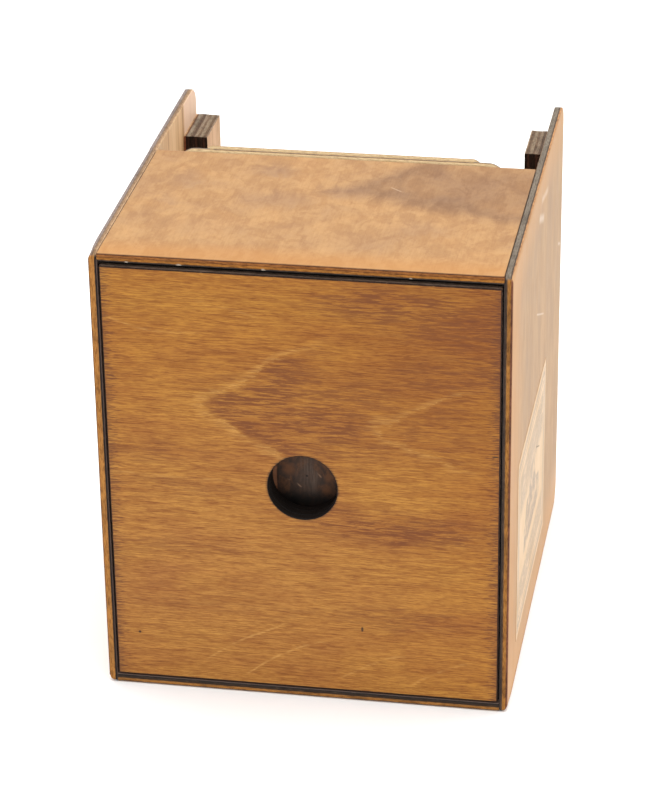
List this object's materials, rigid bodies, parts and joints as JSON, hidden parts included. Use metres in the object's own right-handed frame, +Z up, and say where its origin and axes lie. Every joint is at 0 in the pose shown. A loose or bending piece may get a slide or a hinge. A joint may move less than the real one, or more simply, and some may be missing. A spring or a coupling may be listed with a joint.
{
  "type": "box view camera",
  "caption": "Lensless plywood box camera for sheet film: bored flush front, closed chamber, side panels that run on behind it, lift-out film holder with dark slide.",
  "frame": {"origin": "middle of the footprint, on the surface that the camera stands on", "axes": "+Z up, -Y out of the bored front, +Y towards the film holder and the open rear, +X to the right seen from the front (labelled side)"},
  "size_m": [0.1526, 0.1714, 0.1778],
  "materials": {
    "stained_side": "brown-stained plywood face, satin, faint vertical grain, pale in places",
    "stained_top": "orange-brown stained plywood face with grey-brown blotches, satin",
    "stained_front": "amber-brown stained plywood face with fine horizontal grain, satin",
    "burnt_ply": "plywood with laser-burnt edges, black-stained inside, matt",
    "rail_ply": "three-ply strip with burnt grey-brown edges, matt",
    "raw_ply": "unstained birch plywood, matt",
    "blackened_brass": "thin brass sheet, blackened, with worn brown patches",
    "felt": "thin black felt",
    "slide_board": "black phenolic sheet, matt",
    "film": "sheet film, emulsion side grey-blue",
    "steel": "zinc-plated steel, satin",
    "label_paper": "aged cream paper with a fine grey-blue ornamental print"
  },
  "bodies": {
    "camera": {"left_side": "stained_side", "right_side": "stained_side", "top_panel": "stained_top", "bottom_panel": "stained_top", "front_panel": "stained_front", "front_doubler": "burnt_ply", "pinhole_block": "burnt_ply", "pinhole_plate": "blackened_brass", "pinhole_retainer": "raw_ply", "film_gate": "burnt_ply", "light_seal": "felt", "left_guide": "raw_ply", "right_guide": "raw_ply", "left_retaining_strip": "raw_ply", "right_retaining_strip": "raw_ply", "left_rail_outer": "rail_ply", "left_rail_middle": "rail_ply", "left_rail_inner": "rail_ply", "right_rail_outer": "rail_ply", "right_rail_middle": "rail_ply", "right_rail_inner": "rail_ply", "tripod_block": "raw_ply", "tripod_nut": "steel", "side_label": "label_paper"},
    "film_holder": {"holder_front": "raw_ply", "holder_back": "raw_ply", "holder_left_spacer": "raw_ply", "holder_right_spacer": "raw_ply", "holder_bottom_spacer": "raw_ply", "film_sheet": "film"},
    "dark_slide": {"dark_slide": "slide_board"}
  },
  "joints": [
    {"name": "holder_lift", "type": "slide", "parent": "camera", "child": "film_holder", "axis": [0, 0, 1], "range_m": [0, 0.185]},
    {"name": "dark_slide_pull", "type": "slide", "parent": "film_holder", "child": "dark_slide", "axis": [0, 0, 1], "range_m": [0, 0.158]}
  ]
}
